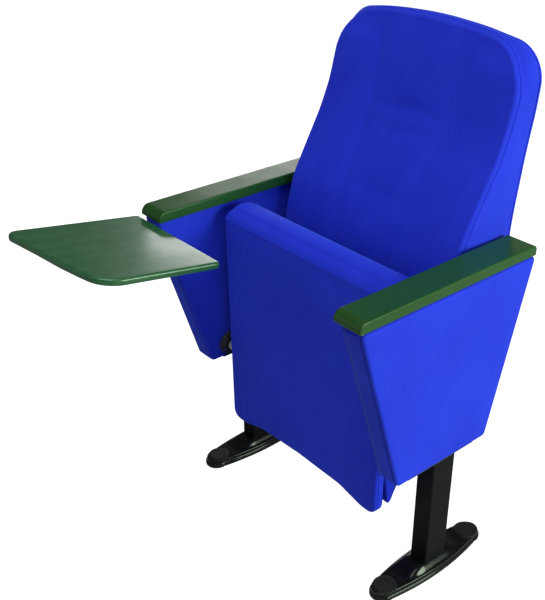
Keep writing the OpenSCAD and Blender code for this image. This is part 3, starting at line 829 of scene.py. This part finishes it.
def reach(outline):
    """Distance from the centre of the back to an outline, as a function of angle."""
    q = resample(outline, 4000) - BACK_CENTRE
    angle = np.arctan2(q[:, 1], q[:, 0])
    order = np.argsort(angle)
    angle, radius = angle[order], np.hypot(q[:, 0], q[:, 1])[order]
    angles = np.concatenate([angle - 2 * np.pi, angle, angle + 2 * np.pi])
    radii = np.tile(radius, 3)
    return lambda a: np.interp(a, angles, radii)


FRONT_REACH, REAR_REACH = reach(front_outline(0.0)[0]), reach(rear_outline(0.0013)[0])


def widen(v):
    """Carry the border of the cushion from the outline of the face to that of the rear."""
    start = front_y(v[:, 2]) + 0.013
    t = np.clip((v[:, 1] - start) / np.maximum(rear_y(v[:, 2]) - 0.014 - start, 0.006), 0, 1)
    q = v[:, (0, 2)] - BACK_CENTRE
    angle = np.arctan2(q[:, 1], q[:, 0])
    k = 1 + t * (REAR_REACH(angle) / FRONT_REACH(angle) - 1)
    out = v.copy()
    out[:, 0], out[:, 2] = BACK_CENTRE[0] + q[:, 0] * k, BACK_CENTRE[1] + q[:, 1] * k
    return out


def build_back():
    edge = 0.008
    outline, corners = front_outline(edge)
    grid = coons(outline, corners, spread(130, 0.35), spread(150, 0.35))
    skin = 0.0125                       # cloth reaches back over the edge of the board
    border = edge + 0.0013
    rings = quarter(edge, 7) + welt(edge, [
        (0.0002, 0.0008), (-0.0008, 0.0015), (-0.0021, 0.0021), (-0.0021, 0.0026),
        (-0.0006, 0.0031), (0.0006, 0.0040), (0.0013, 0.0060)])
    stitch_ring, seam_ring, border_ring = 5, 9, 14
    start, end = -edge - 0.006, -skin
    for k in range(1, 15):
        t = k / 14
        bulge = 0.0022 * math.sin(math.pi * t) ** 0.8
        rings.append((border + bulge, t, start * (1 - t) + (end + 0.003) * t))
    # the cloth turns in behind the board
    rings += [(edge + out, 1, rise) for out, rise in [
        (0.0010, end + 0.0012), (0.0002, end + 0.0003), (-0.0010, end), (-0.0070, end),
        (-0.0080, end + 0.001), (-0.0082, -0.002)]]
    pad = Pad(grid, back_face, lambda q: -(rear_y(q[:, 1]) - 0.0212), rings, towards_front)
    pad.verts = widen(pad.verts)
    seam = search_tree(pad.verts[pad.rings[seam_ring]])

    def pin(q):
        x, y, z = q.T
        from_seam = np.array([seam.find(v)[2] for v in q])
        w = 1 - fade(from_seam, 0.006, 0.016)
        w = np.maximum(w, fade(y, rear_y(z) - 0.030, rear_y(z) - 0.018))
        from_channel = np.abs(np.abs(x) - channel_x(z))
        frontal = y < front_y(z) + 0.02
        w = np.maximum(w, 0.9 * channel_span(z) * frontal * (1 - fade(from_channel, 0.003, 0.008)))
        from_lumbar = np.abs(z - lumbar_z(x))
        return np.maximum(w, 0.35 * frontal * (np.abs(x) < channel_x(z))
                          * (1 - fade(from_lumbar, 0.003, 0.008)))

    swell = inflate(pad.verts, pad.faces, pin, limit=0.012, bending=4.0) * 0.8
    face_y = front_y(pad.verts[:, 2])
    # the border is tighter than the face
    swell *= (1 - 0.45 * fade(pad.verts[:, 1], face_y + 0.012, face_y + 0.03))[:, None]
    v = pad.verts + swell
    add_part("back_cushion_soft", v, pad.faces, FABRIC, replaces="back_cushion")
    normals = vertex_normals(v, pad.faces)
    ring = pad.rings[border_ring]
    if (normals[ring] * (v[ring] - v.mean(0))).sum() <= 0:
        normals = -normals
    ring = pad.rings[stitch_ring]
    stitches("back_seam_stitches", v[ring], normals[ring], THREAD)


build_back()


def build_rear_panel():
    edge = 0.0050
    outline, corners = rear_outline(edge)
    grid = coons(outline, corners, spread(100, 0.4), spread(110, 0.4))
    swell = crown(grid, 8, 8)

    def top(q):
        return (rear_y(q[:, 1]) - 0.0008
                + swell * (0.0012 + ripple(q, height=0.0004, size=0.12, seed=41)))

    rings = quarter(edge, 6) + [(edge - 0.0006, 1, 0.0001), (edge - 0.002, 1, 0)]
    pad = Pad(grid, top, lambda q: rear_y(q[:, 1]) - 0.0078, rings,
              lambda x, z, height: np.stack([x, height, z], 1))
    add_part("back_rear_panel_cover", pad.verts, pad.faces, FABRIC, replaces="back_rear_panel")


build_rear_panel()

# ---------------------------------------------------------------- seat
# side profile of the cushion (y, z): up the sitting surface, over the crest, down to the lip
SEAT_PROFILE = np.array([
    (-0.0600, 0.172), (-0.0410, 0.202), (-0.0240, 0.242), (-0.0140, 0.296), (-0.0105, 0.350),
    (-0.0100, 0.400), (-0.0100, 0.470), (-0.0100, 0.540), (-0.0130, 0.590), (-0.0200, 0.616),
    (-0.0330, 0.6325), (-0.0490, 0.6400), (-0.0660, 0.6420), (-0.0820, 0.6390),
    (-0.0945, 0.6318), (-0.1022, 0.6238), (-0.1054, 0.6172), (-0.1060, 0.6128)])
# thickness of the cushion at each height z
SEAT_THICKNESS = ([0.166, 0.172, 0.206, 0.242, 0.30, 0.60, 0.62, 0.65],
                  [0.008, 0.011, 0.027, 0.045, 0.056, 0.060, 0.05, 0.05])
SEAT_BOARD_Y = -0.0714                  # where the cushion meets its board
SEAT_SEAM_Z = 0.560                     # cross seam where the roll at the front edge begins


def build_seat():
    seat_half = box("seat_cushion")[1][0]
    raw = at(SEAT_PROFILE, np.linspace(0, 1, 500))
    smooth = raw.copy()
    for k in (0, 1):
        padded = np.concatenate([2 * raw[0, k] - raw[7:0:-1, k], raw[:, k],
                                 2 * raw[-1, k] - raw[-2:-9:-1, k]])
        smooth[:, k] = np.convolve(padded, bell(2, 15), "valid")
    crest = 1 + int(np.argmax(smooth[:, 1]))
    outline = np.vstack([[(SEAT_BOARD_Y, 0.166)], smooth, [(-0.0840, 0.6128), (-0.0716, 0.6000)]])
    edge = 0.009
    inset = edge + 0.004
    y, z = outline.T
    # edges shrink where the cushion is thin and towards its lip
    size = np.minimum(1.0, np.interp(z, *SEAT_THICKNESS) * 0.40 / inset)
    size = size * np.where(z > 0.60, np.clip((y + 0.1059) / 0.02, 0.25, 1), 1.0)
    inner = outline - outward(outline) * (size * inset)[:, None]
    corners = [0, 1, crest, 500]        # low end at the board, foot, crest, lip
    grid = coons(inner, corners, spread(16, 0.2), np.linspace(0, 1, 96))
    swell = crown(grid, 4, 8)

    def top(_):
        return seat_half - 0.0015 + 0.0018 * swell

    groove = 0.0044                     # a fine sewn groove, then the round of the edge
    rim = [(0.0026, 0, 0.0002), (0.0032, 0, -0.0010), (0.0038, 0, -0.0012), (groove, 0, 0.0)]
    for k in range(1, 8):
        a = math.pi / 2 * k / 7
        rim.append((groove + (inset - groove) * math.sin(a), 0, -edge * (1 - math.cos(a))))
    pad = Pad(grid, top, lambda q: -top(q), rim + wall(inset, edge, 76) + mirrored(rim), across_x,
              scale=lambda border: np.array([size[nearest(inner, q)] for q in border]))
    v = pad.verts
    # the sitting surface is fuller in the middle of its width
    sitting = (fade(v[:, 1], -0.06, -0.02) * fade(v[:, 2], 0.20, 0.26)
               * (1 - fade(v[:, 2], 0.58, 0.63)))
    v[:, 1] += sitting * (0.003 * (1 - (v[:, 0] / seat_half) ** 2)
                          + ripple(v, height=0.0008, size=0.14, seed=51))
    v[:, 1] -= (0.0018 * fade(v[:, 1], -0.05, -0.02)
                * np.exp(-((v[:, 2] - SEAT_SEAM_Z) / 0.0035) ** 2))

    def pin(q):
        x, y, z = q.T
        return np.maximum.reduce([
            (y < SEAT_BOARD_Y + 0.006) * 1.0,
            (z > 0.596) * (y < -0.080) * (z < 0.620) * 1.0,
            fade(-z, -0.195, -0.180),
            0.85 * (seat_half - np.abs(x) < 0.0045),
            0.7 * (y > -0.045) * (1 - fade(np.abs(z - SEAT_SEAM_Z), 0.003, 0.009))])

    swelling = inflate(v, pad.faces, pin, limit=0.009)
    swelling[:, 0] = np.clip(swelling[:, 0], -0.003, 0.003)
    add_part("seat_cushion_soft", v + swelling, pad.faces, FABRIC, replaces="seat_cushion",
             body="seat", sharp=48)


build_seat()


def build_seat_panel():
    """Cover of the seat's underside, with a shallow arch cut into its low edge."""
    lo, hi = box("seat_underside_panel")
    half, z0, z1 = hi[0] - 0.0015, lo[2] - 0.0010, hi[2]
    edge = 0.006
    arch = [(-0.182, z0), (-0.120, z0 + 0.0155), (0, z0 + 0.0195), (0.120, z0 + 0.0155),
            (0.182, z0)]
    points = [(-half, z1), (-half, z0), *arch, (half, z0), (half, z1)]
    inset = [(x - math.copysign(edge, x) if abs(x) > half - 1e-6 else x,
              z + (edge if z < 0.5 else 0.0025)) for x, z in points]
    outline, mids = rounded(inset, [0, 0.016, 0.06, 0.06, 0, 0.06, 0.06, 0.016, 0])
    corners = [mids[k] for k in (1, 7, 8, 0)]
    grid = coons(outline, corners, spread(110, 0.3), spread(110, 0.3))
    # flush with the lip of the cushion above it, which covers the top edge
    tuck = fade(grid[:, :, 1].reshape(-1), z1 - 0.030, z1 - 0.004)
    swell = crown(grid, 8, 10, v_ends=(1, 0)) * (1 - tuck)

    def top(q):
        return -lo[1] - 0.0004 * tuck + swell * (
            0.0012 + ripple(q, height=0.0005, size=0.16, seed=61)
            + ripple(q, height=0.0001, size=0.03, seed=63))

    rings = quarter(edge, 6) + welt(edge, [(0.0, 0.0008), (-0.0008, 0.0013), (-0.0008, 0.0017),
                                           (0.0001, 0.0022)])
    rings += [(edge + 0.0003, 0.7, -0.002), (edge, 1, 0.003), (edge - 0.0012, 1, 0.0006),
              (edge - 0.003, 1, 0)]
    pad = Pad(grid, top, level(-hi[1]), rings, towards_front,
              scale=lambda border: np.where(border[:, 1] > z1 - 0.0012, 0.05, 1.0))
    add_part("seat_underside_cover", pad.verts, pad.faces, FABRIC,
             replaces="seat_underside_panel", body="seat", sharp=48)


build_seat_panel()

# ---------------------------------------------------------------- writing tablet
# corners of the board in its own plane (across, rearwards from the rear edge), and their radii
TABLET_POINTS = np.array([(-60, 1.5), (-77, -262), (24, -249), (85, -243), (134, -235),
                          (195, -222), (207, 0)]) * MM
TABLET_RADII = np.array([6, 20, 0, 0, 0, 52, 7]) * MM


def build_tablet():
    board = cad("tablet_board")
    # the board's own plane, from the largest upward face of the CAD mesh
    face = max(NODES["tablet_board"].data.polygons,
               key=lambda q: q.area if q.normal.z > 0.5 else 0)
    up = Vector(face.normal).normalized()
    across = Vector((1, 0, 0))
    rearward = up.cross(across).normalized()
    across, rearward, up = np.array(across), np.array(rearward), np.array(up)
    heights = board @ up
    thickness = heights.max() - heights.min()
    origin = rearward * (board @ rearward).max() + up * heights.max()
    x_origin = board[:, 0].min() - TABLET_POINTS[:, 0].min()
    edge = 0.0045
    outline, mids = rounded(TABLET_POINTS, TABLET_RADII)
    # ease the polyline front edge into one curve
    dense = resample(outline, 1200)
    wrapped = np.concatenate([dense[-8:], dense, dense[:8]])
    smooth = np.stack([np.convolve(wrapped[:, k], bell(2, 17), "valid") for k in (0, 1)], 1)
    inner = smooth - outward(smooth) * edge
    corners = [nearest(inner, outline[mids[k]]) for k in (1, 5, 6, 0)]
    grid = coons(inner, corners, spread(110, 0.4), spread(100, 0.4))
    rim = quarter(edge, 6)

    def place(a, b, height):
        return (origin[None] + np.outer(a + x_origin, across) + np.outer(b, rearward)
                + np.outer(height, up))

    pad = Pad(grid, level(0.0), level(-thickness), rim + [(edge, 0.5, 0)] + mirrored(rim), place)
    add_part("tablet_board_wood", pad.verts, pad.faces, WOOD_TABLET,
             replaces="tablet_board", body="tablet")


build_tablet()

# ---------------------------------------------------------------- feet and legs
FOOT_HALF = 0.0375                      # half width of a foot at its middle
FOOT_BOLT_Y = 0.118                     # floor bolts, in front of and behind the middle
FOOT_RIM_Z, FOOT_DECK_Z, FOOT_BASE_Z = 0.0085, 0.0180, 0.0004
DISC_RADIUS = 0.0245
DISC_SEGMENTS = 72


def foot_outline(inset, half_length):
    """Long outline (x, y) with bowed sides and round ends."""
    def half_width(y):
        return FOOT_HALF - inset - y * y / 1.2

    ys = np.linspace(-0.12, 0.12, 26)
    radius = half_width(0.12)
    end_y = half_length - (FOOT_HALF - 0.012)

    def end(y, start):
        return [(radius * math.cos(a), y + radius * math.sin(a))
                for a in np.linspace(start, start + math.pi, 41)[1:-1]]

    return np.array([(half_width(y), y) for y in ys] + end(end_y, 0)
                    + [(-half_width(y), y) for y in ys[::-1]] + end(-end_y, math.pi))


def foot_top(q):
    """Height of a foot: a flat deck that rises to a boss round the leg."""
    x, y = np.abs(q[:, 0]), np.abs(q[:, 1])
    rho = np.sqrt((x / 0.0305) ** 6 + np.clip((y - 0.030) / 0.052, 0, 2) ** 2.2)
    boss = fade(1.04 - rho, 0, 1)
    camber = 0.0009 * (1 - (x / 0.034) ** 2)
    from_bolt = np.sqrt(x ** 2 + (y - FOOT_BOLT_Y) ** 2)
    groove = 0.0006 * np.exp(-((from_bolt - 0.0249) / 0.0009) ** 2)
    return FOOT_DECK_Z + 0.0135 * boss + camber * (1 - boss) * 0.6 - groove


def build_foot(name, node):
    lo, hi = box(node)
    half_length = (hi[1] - lo[1]) / 2
    cx, cy = (lo[0] + hi[0]) / 2, (lo[1] + hi[1]) / 2
    edge = 0.0028
    outer = 0.003 + edge
    dense = resample(foot_outline(outer, half_length), 800)
    corner_x, corner_y = FOOT_HALF * 0.46, half_length - 0.008
    corners = [nearest(dense, (i * corner_x, j * corner_y))
               for i, j in ((-1, -1), (1, -1), (1, 1), (-1, 1))]
    grid = coons(dense, corners, spread(40, 0.35), np.linspace(0, 1, 170))
    # (distance outside the grid, z) down the wall, out over the rim and down to the floor
    skirt = [(edge, FOOT_DECK_Z - edge - 0.001), (edge + 0.0003, FOOT_RIM_Z + 0.0030),
             (edge + 0.0008, FOOT_RIM_Z + 0.0012), (edge + 0.0016, FOOT_RIM_Z + 0.0003),
             (edge + 0.0022, FOOT_RIM_Z)]
    rim_radius = 0.0014
    for k in range(5):
        t = math.pi / 2 * k / 4
        skirt.append((outer - rim_radius + rim_radius * math.sin(t),
                      FOOT_RIM_Z - rim_radius * (1 - math.cos(t))))
    skirt += [(outer, 0.004), (outer, 0.0012), (outer - 0.0003, 0.0006), (outer - 0.001, 0.0004)]
    rings = quarter(edge, 6) + [(out, 1.0, z - FOOT_BASE_Z) for out, z in skirt]
    pad = Pad(grid, foot_top, level(FOOT_BASE_Z), rings,
              lambda x, y, height: np.stack([x + cx, y + cy, height], 1))
    add_part(name, pad.verts, pad.faces, GLOSS, replaces=node)
    return cx, cy


def build_discs(name, node, cx, cy):
    """Round cover caps over the floor bolts of a foot."""
    top_z = box(node)[1][2]
    # (radius, z) from the middle of the top, over the edge, to the middle of the bottom
    profile = [(0.0, top_z - 0.0002), (0.005, top_z - 0.0002), (0.010, top_z - 0.00015),
               (0.014, top_z - 0.0001), (0.0185, top_z), (0.0205, top_z - 0.00005),
               (0.0222, top_z - 0.0003), (0.0236, top_z - 0.0009), (0.0243, top_z - 0.0018),
               (DISC_RADIUS, top_z - 0.0028), (DISC_RADIUS, 0.0162), (0.0, 0.0162)]
    verts, faces = [], []
    for y in (cy - FOOT_BOLT_Y, cy + FOOT_BOLT_Y):
        rows = []
        for radius, z in profile:
            count = DISC_SEGMENTS if radius else 1
            rows.append([len(verts) + k for k in range(count)])
            for k in range(count):
                a = 2 * math.pi * k / DISC_SEGMENTS
                verts.append((cx + radius * math.cos(a), y + radius * math.sin(a), z))
        for upper, lower in zip(rows, rows[1:]):
            for k in range(DISC_SEGMENTS):
                k2 = (k + 1) % DISC_SEGMENTS
                if len(upper) == 1:
                    faces.append((upper[0], lower[k], lower[k2]))
                elif len(lower) == 1:
                    faces.append((upper[k], lower[0], upper[k2]))
                else:
                    faces.append((upper[k], lower[k], lower[k2], upper[k2]))
    add_part(name, verts, faces, DISC, replaces=node, sharp=35)


for hand in ("left", "right"):
    foot_x, foot_y = build_foot("foot_shell_" + hand, "foot_cover_" + hand)
    build_discs("foot_discs_" + hand, "foot_caps_" + hand, foot_x, foot_y)


def build_leg(name, node):
    lo, hi = box(node)
    cx, cy = (lo[0] + hi[0]) / 2, (lo[1] + hi[1]) / 2
    edge = 0.0004
    w, d = (hi[0] - lo[0]) / 2 - edge, (hi[1] - lo[1]) / 2 - edge
    outline, corners = rounded([(-w, -d), (w, -d), (w, d), (-w, d)], [0.0028] * 4, step=0.0003)
    grid = coons(outline, corners, spread(26, 0.8), spread(30, 0.8))
    rings = [(edge, 0, -edge)] + [(edge, k / 24, 0) for k in range(1, 24)] + [(edge, 1, edge)]
    pad = Pad(grid, level(hi[2]), level(lo[2]), rings,
              lambda x, y, height: np.stack([x + cx, y + cy, height], 1))
    add_part(name, pad.verts, pad.faces, STEEL, replaces=node)


for hand in ("left", "right"):
    build_leg("leg_post_" + hand, "leg_tube_" + hand)

# ---------------------------------------------------------------- CAD nodes that stay
# the seat board is near-black, painted shade for the dark gap where its edge shows between the
# cushion and the underside cover, and the axles are blackened
BY_NODE = {"seat_board": TIMBER_PAINTED_SHADE, "seat_axle_left": STEEL_CAD, "seat_axle_right": STEEL_CAD}
BY_SLOT = {"fabric_blue": FABRIC, "wood_green": WOOD_ARM_SHADED, "plastic_black": PLASTIC_CAD,
           "steel_black": STEEL_CAD, "steel_zinc": ZINC, "timber": TIMBER, "nylon": NYLON}
# first match in the name of a node that has no known slot
BY_WORD = [("screws", ZINC), ("bolts", ZINC), ("pin", ZINC), ("washer", ZINC), ("axle", ZINC),
           ("spring", ZINC), ("dowels", TIMBER), ("board", TIMBER), ("core", TIMBER),
           ("bush", NYLON), ("hub", PLASTIC_CAD), ("", STEEL_CAD)]


def finish_cad_nodes():
    slot_of = {}
    for part in frame["record"].get("subparts", []):
        node = part.get("node") or part.get("name")
        slot = part.get("material") or part.get("slot") or part.get("material_slot")
        if node and slot:
            slot_of[node] = slot
    for node, obj in NODES.items():
        if obj.hide_render:
            continue
        material = BY_NODE.get(node, BY_SLOT.get(slot_of.get(node, "")))
        if material is None:
            material = next(m for word, m in BY_WORD if word in node)
        if not obj.material_slots:
            obj.data.materials.append(material)
        for slot in obj.material_slots:
            slot.material = material


finish_cad_nodes()


# ---------------------------------------------------------------- stage, world, lights, camera
def build_floor():
    """Seen directly the floor is a bright sweep; what it throws on the chair is dimmer."""
    mat = Shader("floor_pale")
    cloud = mat.noise(scale=1.5, detail=3)
    mat.set({
        "Base Color": mat.mix(cloud, (0.46, 0.46, 0.47), (0.49, 0.49, 0.49)),
        "Roughness": 0.85,
        "Specular IOR Level": 0.1,
        "Emission Color": (1.0, 1.0, 1.0),
        "Emission Strength": 0.87})
    dim = mat.add("BsdfDiffuse")
    mat.put(dim.inputs["Color"], (0.42, 0.42, 0.43))
    choose = mat.add("MixShader")
    mat.put(choose.inputs[0], mat.add("LightPath").outputs["Is Camera Ray"])
    mat.put(choose.inputs[1], dim.outputs[0])
    mat.put(choose.inputs[2], mat.principled.outputs[0])
    mat.put(mat.output.inputs[0], choose.outputs[0])
    half, z = 20.0, -0.0002
    corners = [(-half, -half, z), (half, -half, z), (half, half, z), (-half, half, z)]
    data = new_mesh("studio_floor", corners, [(0, 1, 2, 3)])
    data.materials.append(mat.material)
    add_object("studio_floor", data)


def build_world():
    """Soft fill for matt surfaces, a darker room for what gloss mirrors."""
    world = scene.world or bpy.data.worlds.new("studio")
    scene.world = world
    world.use_nodes = True
    nodes = Nodes(world.node_tree)
    background = nodes.tree.nodes.get("Background") or nodes.add("Background")
    nodes.put(background.inputs[0], (0.96, 0.98, 1.0))
    rays = nodes.add("LightPath").outputs
    fill = nodes.remap(rays["Is Glossy Ray"], span=(0.0, 1.0), to=(0.285, 0.11))
    seen = nodes.math("MULTIPLY", rays["Is Camera Ray"], 0.74)
    nodes.put(background.inputs[1], nodes.math("ADD", fill, seen))


def area(name, place, target, size, power, colour=(1, 1, 1)):
    light = bpy.data.lights.new(name, "AREA")
    light.shape, light.energy, light.color = "RECTANGLE", power, colour
    light.size, light.size_y = size
    obj = bpy.data.objects.new(name, light)
    obj.location = place
    obj.rotation_mode = "QUATERNION"
    obj.rotation_quaternion = (Vector(target) - Vector(place)).to_track_quat("-Z", "Y")
    scene.collection.objects.link(obj)
    return obj


build_floor()
build_world()
area("key_right", place=(3.3, 1.0, 1.35), target=(0.0, 0.0, 0.5), size=(1.8, 1.6), power=132,
     colour=(1.0, 1.22, 0.95))
area("top_soft", place=(0.5, -0.9, 3.4), target=(0.0, 0.1, 0.7), size=(2.0, 2.0), power=60,
     colour=(1.0, 1.05, 1.0))
area("front_fill", place=(-1.8, -3.4, 1.6), target=(0.0, 0.0, 0.5), size=(2.5, 2.0), power=9,
     colour=(0.95, 0.97, 1.0))
# a low bright wall behind, mirrored in the lacquer of the tablet and the rear of the caps
area("rear_wall", place=(-2.11, 1.98, 1.27), target=(-0.15, -0.2, 0.65), size=(1.5, 0.50),
     power=15).visible_camera = False


def build_camera():
    place = (1.1476, -1.0856, 1.3548)
    azimuth, elevation, roll = (math.radians(a) for a in (48.31, 32.11, 0.45))
    back = Vector((math.sin(azimuth) * math.cos(elevation),
                   -math.cos(azimuth) * math.cos(elevation), math.sin(elevation)))
    forward = -back
    level_right = forward.cross(Vector((0, 0, 1))).normalized()
    level_up = level_right.cross(forward)
    right = level_right * math.cos(roll) + level_up * math.sin(roll)
    up = -level_right * math.sin(roll) + level_up * math.cos(roll)
    data = bpy.data.cameras.new("camera")
    data.sensor_width, data.sensor_fit = 36.0, "AUTO"
    data.lens = 55.98
    data.shift_x, data.shift_y = -0.07116667, 0.094
    data.clip_start, data.clip_end = 0.05, 100.0
    obj = add_object("camera", data)
    rows = [(right[k], up[k], back[k], place[k]) for k in range(3)]
    obj.matrix_world = Matrix((*rows, (0, 0, 0, 1)))
    scene.camera = obj


build_camera()
scene.view_settings.view_transform = "Standard"
scene.view_settings.look = "None"
